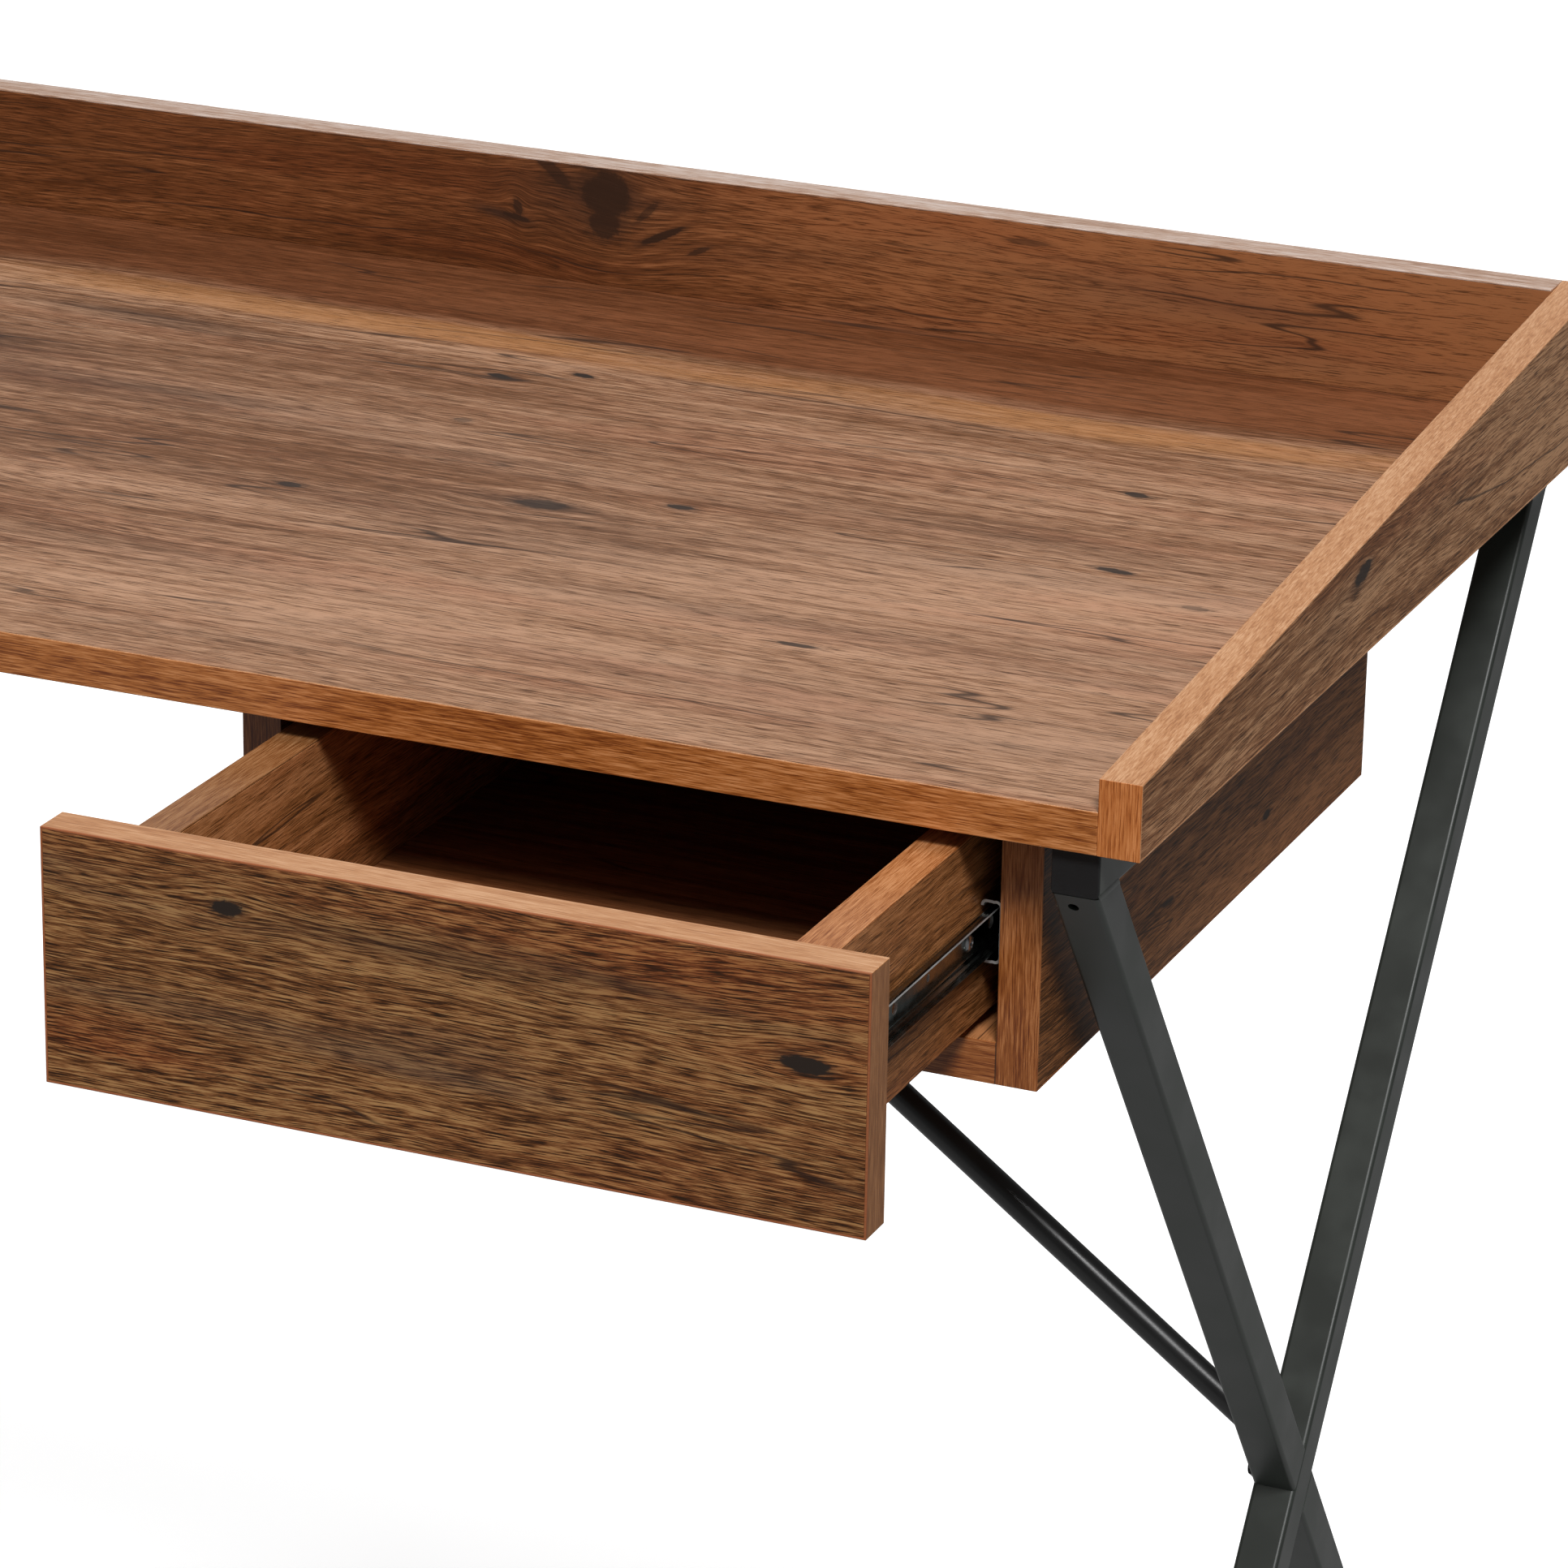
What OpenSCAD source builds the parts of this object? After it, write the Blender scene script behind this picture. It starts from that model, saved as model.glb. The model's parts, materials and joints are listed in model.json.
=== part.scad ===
// Writing desk with a raised back, tapered side panels, crossed tube legs and one drawer.
// Millimetres, +Z up. The origin is on the floor, at the middle of the desk's width and at the
// middle of its depth with the drawer pulled out.

/* [Worktop] */
// Overall width across the side panels
desk_w = 1200; // [1100:10:1500]
// Depth of the worktop
desk_d = 600; // [560:10:700]
// Height of the worktop's underside above the floor
underside_h = 732; // [690:2:760]
// Thickness of every board
board_t = 18; // [16:1:22]
// Thickness of the edge bands
band_t = 1; // [0.5:0.5:2]

/* [Raised edges] */
// Height of a side panel at the front, from the worktop's underside
side_front_h = 32; // [26:1:50]
// Height of a side panel at the back, from the worktop's underside
side_back_h = 78; // [60:1:140]

/* [Drawer unit] */
// Gap between the desk's right end and the drawer case
case_inset = 50; // [42:1:80]
// Width of the drawer case
case_w = 356; // [300:2:420]
// Height of the drawer case
case_h = 116; // [112:1:150]
// Depth of the drawer case
case_d = 405; // [395:5:450]
// Distance of the case's front edge behind the worktop's front edge
case_setback = 28; // [24:1:60]
// Width of the drawer front
front_w = 352; // [296:2:416]
// Height of the drawer front
front_h = 108.4; // [104:0.2:140]
// How far the drawer is pulled out
drawer_open = 152; // [0:1:240]

/* [Leg frames] */
// Width of the square tubes
tube = 20; // [20:1:30]
// Wall thickness of the square tubes
tube_wall = 1.5; // [1:0.5:2.5]
// Angle between a leg and the vertical, in degrees
leg_angle = 36.4; // [30:0.1:38]
// Diameter of the round braces
brace_dia = 13; // [10:1:16]

/* [Hidden] */
$fn = 48;

// Colours
walnut = [0.42, 0.29, 0.20];
walnut_edge = [0.60, 0.36, 0.22];
charcoal = [0.20, 0.21, 0.20];
gloss_black = [0.07, 0.07, 0.07];
zinc = [0.70, 0.71, 0.72];
beech = [0.82, 0.66, 0.46];
black_plastic = [0.10, 0.10, 0.10];

// Overlap of a cutting shape past the face that it cuts
eps = 1;

// Places on the desk: x from the middle, y from the worktop's front edge, z from its underside
half_w = desk_w / 2;
inner_x = half_w - board_t;
front_gap = 1.8;
front_y = case_setback - front_gap - board_t;
front_proud = drawer_open - front_y;
desk_y = (front_proud - desk_d) / 2;

// Raised edges
side_slope = (side_back_h - side_front_h) / desk_d;
slope_band = band_t * sqrt(1 + side_slope * side_slope);
dowel_dia = 8;
dowel_in_panel = 12;
dowel_in_desktop = 18;
side_dowel_y = [30, 150, 225, desk_d - 225, desk_d - 150, desk_d - 30];
back_screw_x = [-500, -250, 0, 250, 500];
confirmat_dia = 5;
confirmat_head_dia = 10;
confirmat_head_h = 3;
confirmat_len = 50;

// Drawer case
case_x1 = half_w - case_inset;
case_x0 = case_x1 - case_w;
case_mid_x = (case_x0 + case_x1) / 2;
case_y1 = case_setback + case_d;

// Cam joints: a cam in one board's face draws on a bolt that is screwed into the next board
cam_dia = 15;
cam_depth = 12.5;
cam_reach = 24;
cam_bolt_dia = 6;
cam_bolt_bite = 11;

// Drawer: y is that of the closed drawer
slide_gap = 10;
box_x0 = case_x0 + board_t + slide_gap;
box_x1 = case_x1 - board_t - slide_gap;
box_y0 = front_y + board_t;
box_d = 370;
box_y1 = box_y0 + box_d;
front_top = -2.3;
side_top = -8.5;
side_bottom = -91.5;
floor_t = 5;
floor_top = -81.5;
floor_bottom = floor_top - floor_t;
floor_groove = 6;
floor_screw_x = [-80, 0, 80];
drawer_dowel_z = -70;
bumper_dia = 8;
bumper_h = 1.5;

// Two-part ball slides; u runs from the case's inner face towards the drawer
slide_h = 27;
slide_len = 350;
slide_t = 1.2;
slide_z = -52;
slide_y0 = case_setback + 3;
runner_h = 19.2;
runner_reach = 3.2;
lip_u = 8.3;
lip_w = 1;
lip_h = 1.7;
ball_dia = 2.5;
ball_u = 5.6;
ball_v = (slide_h / 2 - slide_t + runner_h / 2) / 2;
ball_pitch = 10;
balls_in_row = 9;
cage_t = 0.8;
cage_u0 = 1.8;
cage_u1 = 7.9;
cage_len = 96;
cage_mid_y = slide_y0 + slide_len / 2;
cage_ratio = 0.5;
slide_screw_dia = 3.5;
slide_screw_head_dia = 7;
slide_screw_len = 14;
case_slide_screw_y = [9, 137, 300];
drawer_slide_screw_y = [35, 137, 300];

// Leg frames
bar_inset = 4;
plug_flange = 1.5;
plug_depth = 12;
tube_r = 2;
bar_x = inner_x - tube / 2;
leg_face_x = inner_x - tube;
leg_half_y = tube / 2 / cos(leg_angle);
cross_y = desk_d / 2;
cross_z = -tube - (cross_y - bar_inset - leg_half_y) / tan(leg_angle);
foot_h = 11;
leg_cut_z = foot_h - underside_h;
foot_drop = cross_z - leg_cut_z;
foot_spread = foot_drop * tan(leg_angle);
vent_dia = 4.5;
vent_drop = 6.3;
vent_shift = 1.9;
pad_dia = 28;
pad_top_dia = 22;
pad_h = 6;
stud_dia = 8;
stud_len = 10;
stud_shift = 3;
leg_plug_flange = 2;
leg_plug_len = 16;
frame_bolt_y = [75, desk_d / 2, desk_d - 75];
frame_bolt_dia = 6;
frame_bolt_bite = 11;
frame_head_dia = 12;
frame_head_h = 3.5;
hex_key = 4;
insert_dia = 10;
insert_len = 13;

// Braces
tab_t = 3;
tab_w = 20;
leg_tab_len = 42;
leg_tab_bolts = [-15, 15];
brace_bolt_dia = 5;
brace_head_dia = 9;
brace_head_h = 3;
brace_bolt_len = 8;
brace_rise = 17.5;
brace_foot = [
    leg_face_x - tab_t,
    cross_y + brace_rise * sin(leg_angle),
    cross_z + brace_rise * cos(leg_angle)
];
brace_head = [20, cross_y + 20, -tab_t];
top_tab_x0 = 4;
top_tab_x1 = 76;
brace_screw_x = [46, 66];
brace_screw_dia = 4;
brace_screw_head_dia = 8;
brace_screw_len = 14;

// ---- Helpers ----

// Desk coordinates to the model's frame
module at_desk() translate([0, desk_y, underside_h]) children();

// Places of the pulled-out drawer and of the ball cages, which move half as far
module at_drawer() at_desk() translate([0, -drawer_open, 0]) children();
module at_cage() at_desk() translate([0, -drawer_open * cage_ratio, 0]) children();

// side is 1 for the right and -1 for the left
module on_side(side) {
    if (side > 0) children();
    else mirror([1, 0, 0]) children();
}

module block(lo, hi) translate(lo) cube(hi - lo);

// Round bar between two points, with its diameters at the start and at the end
module bar(p, q, d, d_end = -1) {
    v = q - p;
    len = norm(v);
    translate(p)
        rotate([0, acos(v[2] / len), atan2(v[1], v[0])])
            cylinder(h = len, d1 = d, d2 = d_end < 0 ? d : d_end);
}

// Countersunk screw from p along the unit vector dir
module screw(p, dir, len, d, head_d, head_h) {
    bar(p, p + dir * len, d);
    bar(p, p + dir * head_h, head_d, d);
}

module confirmat(p, dir) screw(p, dir, confirmat_len, confirmat_dia, confirmat_head_dia, confirmat_head_h);

// ---- Cam joints: [point on the cam board's face, that face's outward normal, direction of the bolt] ----

function case_top_cams() = [
    for (y = [70, case_y1 - 60])
        for (s = [-1, 1])
            [[case_mid_x + s * (case_w / 2 - board_t), y, -cam_reach], [-s, 0, 0], [0, 0, 1]]
];
function case_low_cams() = [
    for (y = [80, case_y1 - 70])
        for (s = [-1, 1])
            [[case_mid_x + s * (case_w / 2 - board_t - cam_reach), y, -case_h], [0, 0, -1], [s, 0, 0]]
];
function case_back_cams() = [
    for (s = [-1, 1])
        [[case_mid_x + s * (case_w / 2 - board_t - cam_reach), case_y1, -case_h / 2], [0, 1, 0], [s, 0, 0]]
];
function case_cams() = concat(case_top_cams(), case_low_cams(), case_back_cams());
function drawer_cams() = [
    for (s = [-1, 1])
        [[case_mid_x + s * ((box_x1 - box_x0) / 2 - board_t), box_y0 + cam_reach, -37], [-s, 0, 0], [0, -1, 0]]
];

module cam_space(joint) bar(joint[0], joint[0] - joint[1] * cam_depth, cam_dia);

module cam_bolt(joint) {
    mid = joint[0] - joint[1] * board_t / 2;
    bar(mid, mid + joint[2] * (cam_reach + cam_bolt_bite), cam_bolt_dia);
}

// Cast cam with a screwdriver slot in its face and a hole for the bolt's head
module cam(joint) {
    slot = [3, 10, 2.5];
    difference() {
        cam_space(joint);
        cam_bolt(joint);
        translate(joint[0] - joint[1] * slot[2] / 2)
            cube([
                joint[1][0] != 0 ? slot[2] : slot[0],
                joint[1][1] != 0 ? slot[2] : joint[1][0] != 0 ? slot[0] : slot[1],
                joint[1][2] != 0 ? slot[2] : slot[1]
            ], center = true);
    }
}

module cam_bores(joints) {
    for (joint = joints) {
        cam_space(joint);
        cam_bolt(joint);
    }
}

// ---- Worktop and raised edges ----

module frame_insert_bores() {
    for (s = [-1, 1])
        for (y = frame_bolt_y)
            translate([s * bar_x, y, -eps]) cylinder(h = insert_len + eps, d = insert_dia);
}

module side_dowel_bars(side) {
    for (y = side_dowel_y)
        bar([side * (inner_x - dowel_in_desktop), y, board_t / 2],
            [side * (inner_x + dowel_in_panel), y, board_t / 2], dowel_dia);
}

module back_screw_set() {
    for (x = back_screw_x) confirmat([x, desk_d - board_t / 2, 0], [0, 0, 1]);
}

module brace_screw_set(side) {
    for (x = brace_screw_x)
        screw([side * x, brace_head[1], -tab_t], [0, 0, 1],
              brace_screw_len, brace_screw_dia, brace_screw_head_dia, 2);
}

module desktop() color(walnut) at_desk() difference() {
    block([-inner_x, band_t, 0], [inner_x, desk_d - band_t, board_t]);
    frame_insert_bores();
    for (side = [-1, 1]) {
        side_dowel_bars(side);
        brace_screw_set(side);
    }
    back_screw_set();
    cam_bores(case_top_cams());
}

module desktop_bands() color(walnut_edge) at_desk() {
    block([-inner_x, 0, 0], [inner_x, band_t, board_t]);
    block([-inner_x, desk_d - band_t, 0], [inner_x, desk_d, board_t]);
}

module back_panel() color(walnut) at_desk() difference() {
    block([-inner_x, desk_d - board_t, board_t], [inner_x, desk_d, side_back_h - band_t]);
    back_screw_set();
}

module back_panel_band() color(walnut_edge) at_desk()
    block([-inner_x, desk_d - board_t, side_back_h - band_t], [inner_x, desk_d, side_back_h]);

module back_panel_screws() color(zinc) at_desk() back_screw_set();

// Outline of a side panel, seen from the side and set in from its edges
module side_outline(inset, top_inset)
    polygon([
        [inset, inset],
        [desk_d - inset, inset],
        [desk_d - inset, side_back_h - side_slope * inset - top_inset],
        [inset, side_front_h + side_slope * inset - top_inset]
    ]);

module side_prism()
    translate([inner_x, 0, 0]) rotate([90, 0, 90]) linear_extrude(board_t) children();

module side_panel(side) color(walnut) at_desk() on_side(side) difference() {
    side_prism() side_outline(band_t, slope_band);
    side_dowel_bars(1);
}

module side_band(side) color(walnut_edge) at_desk() on_side(side) side_prism() difference() {
    side_outline(0, 0);
    side_outline(band_t, slope_band);
}

module side_dowels() color(beech) at_desk() for (side = [-1, 1]) side_dowel_bars(side);

// ---- Drawer case ----

module case_side(side) color(walnut) at_desk() difference() {
    x0 = side > 0 ? case_x1 - board_t : case_x0;
    block([x0, case_setback + band_t, band_t - case_h], [x0 + board_t, case_y1, 0]);
    cam_bores(case_cams());
    case_screw_set();
}

module case_bottom() color(walnut) at_desk() difference() {
    block([case_x0 + board_t, case_setback + band_t, -case_h],
          [case_x1 - board_t, case_y1, board_t - case_h]);
    cam_bores(case_low_cams());
}

module case_back() color(walnut) at_desk() difference() {
    block([case_x0 + board_t, case_y1 - board_t, board_t - case_h], [case_x1 - board_t, case_y1, 0]);
    cam_bores(case_back_cams());
}

module case_bands() color(walnut_edge) at_desk() {
    for (x0 = [case_x0, case_x1 - board_t])
        difference() {
            block([x0, case_setback, -case_h], [x0 + board_t, case_y1, 0]);
            block([x0 - eps, case_setback + band_t, band_t - case_h], [x0 + board_t + eps, case_y1 + eps, eps]);
        }
    block([case_x0 + board_t, case_setback, -case_h],
          [case_x1 - board_t, case_setback + band_t, board_t - case_h]);
}

module case_cams_node() color(zinc) at_desk() for (joint = case_cams()) cam(joint);

module case_cam_bolts() color(zinc) at_desk() for (joint = case_cams()) cam_bolt(joint);

// ---- Leg frames ----

module tube_outline() {
    flat = tube - 2 * tube_r;
    square([tube, flat], center = true);
    square([flat, tube], center = true);
    for (x = [-1, 1])
        for (y = [-1, 1])
            translate([x * flat / 2, y * flat / 2]) circle(r = tube_r);
}

module tube_section() difference() {
    tube_outline();
    square(tube - 2 * tube_wall, center = true);
}

// Square tube through the crossing; lean is 1 where its top is at the front and -1 at the back
module leg_tube(lean) intersection() {
    translate([bar_x, cross_y, cross_z])
        rotate([lean * leg_angle, 0, 0])
            translate([0, 0, -desk_d]) linear_extrude(2 * desk_d) tube_section();
    block([leg_face_x - eps, -desk_d, leg_cut_z], [inner_x + eps, 2 * desk_d, -tube]);
}

// The room that the unbroken leg takes up at the crossing
module long_leg_space()
    translate([bar_x, cross_y, cross_z])
        rotate([-leg_angle, 0, 0]) cube([2 * tube, tube, 2 * desk_d], center = true);

module brace_bolt_set() {
    for (s = leg_tab_bolts) {
        head = brace_foot + [0, s * sin(leg_angle), s * cos(leg_angle)];
        bar(head - [brace_head_h, 0, 0], head, brace_head_dia);
        bar(head, head + [brace_bolt_len, 0, 0], brace_bolt_dia);
    }
}

module frame_bolt_set() {
    for (y = frame_bolt_y)
        difference() {
            union() {
                bar([bar_x, y, -tube], [bar_x, y, frame_bolt_bite], frame_bolt_dia);
                bar([bar_x, y, -tube - frame_head_h], [bar_x, y, -tube], frame_head_dia);
            }
            translate([bar_x, y, -tube - frame_head_h - eps])
                cylinder(h = eps + frame_head_h - 1, d = hex_key, $fn = 6);
        }
}

module top_bar(side) color(charcoal) at_desk() on_side(side) difference() {
    translate([bar_x, desk_d - bar_inset - plug_flange, -tube / 2])
        rotate([90, 0, 0])
            linear_extrude(desk_d - 2 * bar_inset - 2 * plug_flange) tube_section();
    for (y = frame_bolt_y) bar([bar_x, y, -tube - eps], [bar_x, y, eps], frame_bolt_dia);
}

module long_leg(side) color(charcoal) at_desk() on_side(side) difference() {
    leg_tube(-1);
    brace_bolt_set();
}

// A small vent hole lets the upper half-leg drain under the bar
module upper_leg(side) color(charcoal) at_desk() on_side(side) difference() {
    leg_tube(1);
    long_leg_space();
    block([0, -desk_d, -underside_h], [desk_w, 2 * desk_d, cross_z]);
    translate([bar_x - vent_shift, bar_inset + vent_drop * tan(leg_angle), -tube - vent_drop])
        rotate([90 + leg_angle, 0, 0])
            cylinder(h = tube / 2, d = vent_dia, center = true);
}

module lower_leg(side) color(charcoal) at_desk() on_side(side) difference() {
    leg_tube(1);
    long_leg_space();
    block([0, -desk_d, cross_z], [desk_w, 2 * desk_d, 0]);
}

module bar_end_plugs() color(black_plastic) at_desk() {
    core = tube - 2 * tube_wall;
    for (s = [-1, 1])
        for (end = [-1, 1])
            translate([s * bar_x, cross_y + end * (cross_y - bar_inset), -tube / 2])
                rotate([end * 90, 0, 0]) {
                    linear_extrude(plug_flange) tube_outline();
                    linear_extrude(plug_flange + plug_depth) square(core, center = true);
                }
}

// Foot positions: lean is 1 for the legs that reach the floor at the back
module at_feet() {
    for (s = [-1, 1])
        for (lean = [-1, 1])
            on_side(s)
                translate([bar_x, cross_y + lean * foot_spread, leg_cut_z]) on_lean(lean) children();
}

module on_lean(lean) {
    if (lean > 0) children();
    else mirror([0, 1, 0]) children();
}

module leg_end_plugs() color(black_plastic) at_desk() at_feet() difference() {
    union() {
        block([-tube / 2, -leg_half_y, -leg_plug_flange], [tube / 2, leg_half_y, 0]);
        intersection() {
            rotate([leg_angle, 0, 0])
                translate([0, 0, -tube])
                    linear_extrude(2 * tube) square(tube - 2 * tube_wall, center = true);
            block([-tube, -2 * tube, -leg_plug_flange], [tube, 2 * tube, leg_plug_len]);
        }
    }
    translate([0, -stud_shift, -leg_plug_flange - eps]) cylinder(h = stud_len + eps, d = stud_dia);
}

module levelling_feet() color(black_plastic) at_desk() at_feet()
    translate([0, -stud_shift, -foot_h]) {
        cylinder(h = pad_h, d1 = pad_dia, d2 = pad_top_dia);
        translate([0, 0, pad_h])
            cylinder(h = foot_h - leg_plug_flange - pad_h + stud_len, d = stud_dia);
    }

module frame_bolts() color(zinc) at_desk() for (s = [-1, 1]) on_side(s) frame_bolt_set();

module frame_inserts() color(zinc) at_desk() difference() {
    intersection() {
        frame_insert_bores();
        block([-half_w, 0, 0], [half_w, desk_d, board_t]);
    }
    for (s = [-1, 1])
        for (y = frame_bolt_y)
            translate([s * bar_x, y, -eps]) cylinder(h = insert_len + 2 * eps, d = frame_bolt_dia);
}

// ---- Braces ----

module brace(side) color(gloss_black) at_desk() on_side(side) {
    axis = (brace_head - brace_foot) / norm(brace_head - brace_foot);
    intersection() {
        bar(brace_foot - axis * brace_dia, brace_head + axis * brace_dia, brace_dia);
        block([0, 0, -underside_h], [leg_face_x - tab_t, desk_d, -tab_t]);
    }
    difference() {
        translate(brace_foot)
            rotate([-leg_angle, 0, 0])
                translate([0, -tab_w / 2, -leg_tab_len / 2]) cube([tab_t, tab_w, leg_tab_len]);
        brace_bolt_set();
    }
    difference() {
        block([top_tab_x0, brace_head[1] - tab_w / 2, -tab_t],
              [top_tab_x1, brace_head[1] + tab_w / 2, 0]);
        brace_screw_set(1);
    }
}

module brace_bolts() color(zinc) at_desk() for (s = [-1, 1]) on_side(s) brace_bolt_set();

module brace_screws() color(zinc) at_desk() for (s = [-1, 1]) brace_screw_set(s);

// ---- Drawer slides ----

// Sections are drawn with u to the right and v up, and run back from y; side 1 is the right slide
module slide_run(side, y, len)
    translate([case_mid_x, 0, slide_z])
        on_side(side)
            translate([case_w / 2 - board_t, y + len, 0])
                rotate([90, 0, 0]) mirror([1, 0, 0]) linear_extrude(len) children();

// The lower and the upper place of a strip of height h in a section of height section_h
function edges_v(section_h, h) = [-section_h / 2, section_h / 2 - h];

module case_slide_section() {
    translate([0, -slide_h / 2]) square([slide_t, slide_h]);
    for (v = edges_v(slide_h, slide_t))
        translate([0, v]) square([lip_u + lip_w, slide_t]);
    for (v = edges_v(slide_h, slide_t + lip_h))
        translate([lip_u, v]) square([lip_w, slide_t + lip_h]);
}

module drawer_slide_section() {
    translate([slide_gap - slide_t, -runner_h / 2]) square([slide_t, runner_h]);
    for (v = edges_v(runner_h, slide_t))
        translate([runner_reach, v]) square([slide_gap - runner_reach, slide_t]);
}

module cage_section() {
    cage_h = 2 * ball_v + cage_t;
    translate([cage_u0, -cage_h / 2]) square([cage_t, cage_h]);
    for (v = edges_v(cage_h, cage_t))
        translate([cage_u0, v]) square([cage_u1 - cage_u0, cage_t]);
}

module slide_balls_set(side, d) {
    for (i = [0 : balls_in_row - 1])
        for (v = [-ball_v, ball_v])
            translate([
                case_mid_x + side * (case_w / 2 - board_t - ball_u),
                cage_mid_y + (i - (balls_in_row - 1) / 2) * ball_pitch,
                slide_z + v
            ]) sphere(d = d);
}

module slide_screw(p, dir) screw(p, dir, slide_screw_len, slide_screw_dia, slide_screw_head_dia, 1.8);

module case_screw_set() {
    for (side = [-1, 1])
        for (y = case_slide_screw_y)
            slide_screw([case_mid_x + side * (case_w / 2 - board_t - slide_t), slide_y0 + y, slide_z],
                        [side, 0, 0]);
}

module drawer_screw_set() {
    for (side = [-1, 1])
        for (y = drawer_slide_screw_y)
            slide_screw([case_mid_x + side * ((box_x1 - box_x0) / 2 + slide_t), slide_y0 + y, slide_z],
                        [-side, 0, 0]);
}

module case_slide(side) color(gloss_black) at_desk() difference() {
    slide_run(side, slide_y0, slide_len) case_slide_section();
    case_screw_set();
}

module drawer_slide(side) color(gloss_black) at_drawer() difference() {
    slide_run(side, slide_y0, slide_len) drawer_slide_section();
    drawer_screw_set();
}

module ball_cage(side) color(zinc) at_cage() difference() {
    slide_run(side, cage_mid_y - cage_len / 2, cage_len) cage_section();
    for (i = [0 : balls_in_row - 1])
        translate([
            case_mid_x + side * (case_w / 2 - board_t - ball_u),
            cage_mid_y + (i - (balls_in_row - 1) / 2) * ball_pitch,
            slide_z
        ]) cylinder(h = slide_h, d = ball_dia + 0.1, center = true);
}

module slide_balls(side) color(zinc) at_cage() slide_balls_set(side, ball_dia);

module case_slide_screws() color(zinc) at_desk() case_screw_set();

module drawer_slide_screws() color(zinc) at_drawer() drawer_screw_set();

// ---- Drawer ----

module drawer_dowel_set() {
    for (x = [box_x0 + board_t / 2, box_x1 - board_t / 2])
        bar([x, box_y0 - dowel_in_panel, drawer_dowel_z],
            [x, box_y0 + dowel_in_desktop, drawer_dowel_z], dowel_dia);
}

// Screws through the drawer's sides into its back, and through its floor into the back's lower edge
module drawer_back_screws() {
    y = box_y1 - board_t / 2;
    for (s = [-1, 1])
        for (z = [-26, -70]) confirmat([case_mid_x + s * (box_x1 - box_x0) / 2, y, z], [-s, 0, 0]);
    for (x = floor_screw_x) slide_screw([case_mid_x + x, y, floor_bottom], [0, 0, 1]);
}

// The room that the floor takes up, in grooves in the drawer's front and sides
module drawer_floor_space()
    block([box_x0 + board_t - floor_groove, box_y0 - floor_groove, floor_bottom],
          [box_x1 - board_t + floor_groove, box_y1, floor_top]);

module drawer_front() color(walnut) at_drawer() difference() {
    block([case_mid_x - front_w / 2 + band_t, front_y, front_top - front_h + band_t],
          [case_mid_x + front_w / 2 - band_t, box_y0, front_top - band_t]);
    for (joint = drawer_cams()) cam_bolt(joint);
    drawer_dowel_set();
    drawer_floor_space();
}

module drawer_front_band() color(walnut_edge) at_drawer() difference() {
    block([case_mid_x - front_w / 2, front_y, front_top - front_h],
          [case_mid_x + front_w / 2, box_y0, front_top]);
    block([case_mid_x - front_w / 2 + band_t, front_y - eps, front_top - front_h + band_t],
          [case_mid_x + front_w / 2 - band_t, box_y0 + eps, front_top - band_t]);
}

module drawer_side(side) color(walnut) at_drawer() difference() {
    x0 = side > 0 ? box_x1 - board_t : box_x0;
    block([x0, box_y0, side_bottom], [x0 + board_t, box_y1, side_top - band_t]);
    cam_bores(drawer_cams());
    drawer_dowel_set();
    drawer_floor_space();
    drawer_back_screws();
    drawer_screw_set();
}

module drawer_back() color(walnut) at_drawer() difference() {
    block([box_x0 + board_t, box_y1 - board_t, floor_top],
          [box_x1 - board_t, box_y1, side_top - band_t]);
    drawer_back_screws();
}

module drawer_bottom() color(walnut) at_drawer() difference() {
    drawer_floor_space();
    drawer_back_screws();
}

// Bands along the top edges of the drawer's sides and back
module drawer_bands() color(walnut_edge) at_drawer() {
    z0 = side_top - band_t;
    for (x0 = [box_x0, box_x1 - board_t])
        block([x0, box_y0, z0], [x0 + board_t, box_y1, side_top]);
    block([box_x0 + board_t, box_y1 - board_t, z0], [box_x1 - board_t, box_y1, side_top]);
}

module drawer_cams_node() color(zinc) at_drawer() for (joint = drawer_cams()) cam(joint);

module drawer_cam_bolts() color(zinc) at_drawer() for (joint = drawer_cams()) cam_bolt(joint);

module drawer_dowels() color(beech) at_drawer() drawer_dowel_set();

module drawer_screws() color(zinc) at_drawer() drawer_back_screws();

// Soft pads behind the drawer front that meet the case's front edges
module drawer_bumpers() color(black_plastic) at_drawer() {
    for (s = [-1, 1])
        for (z = [-24, -84])
            bar([case_mid_x + s * (case_w - board_t) / 2, box_y0, z],
                [case_mid_x + s * (case_w - board_t) / 2, box_y0 + bumper_h, z], bumper_dia);
}

// ---- Nodes ----

desktop();
desktop_bands();
back_panel();
back_panel_band();
back_panel_screws();
side_panel(-1);  // left_side_panel
side_panel(1);  // right_side_panel
side_band(-1);  // left_side_band
side_band(1);  // right_side_band
side_dowels();
case_side(-1);  // case_left_side
case_side(1);  // case_right_side
case_bottom();
case_back();
case_bands();
case_cams_node();  // case_cams
case_cam_bolts();
top_bar(-1);  // left_top_bar
top_bar(1);  // right_top_bar
long_leg(-1);  // left_long_leg
long_leg(1);  // right_long_leg
upper_leg(-1);  // left_upper_leg
upper_leg(1);  // right_upper_leg
lower_leg(-1);  // left_lower_leg
lower_leg(1);  // right_lower_leg
bar_end_plugs();
leg_end_plugs();
levelling_feet();
frame_bolts();
frame_inserts();
brace(-1);  // left_brace
brace(1);  // right_brace
brace_bolts();
brace_screws();
case_slide(-1);  // left_case_slide
case_slide(1);  // right_case_slide
case_slide_screws();
ball_cage(-1);  // left_ball_cage
ball_cage(1);  // right_ball_cage
slide_balls(-1);  // left_slide_balls
slide_balls(1);  // right_slide_balls
drawer_slide(-1);  // left_drawer_slide
drawer_slide(1);  // right_drawer_slide
drawer_slide_screws();
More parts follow.
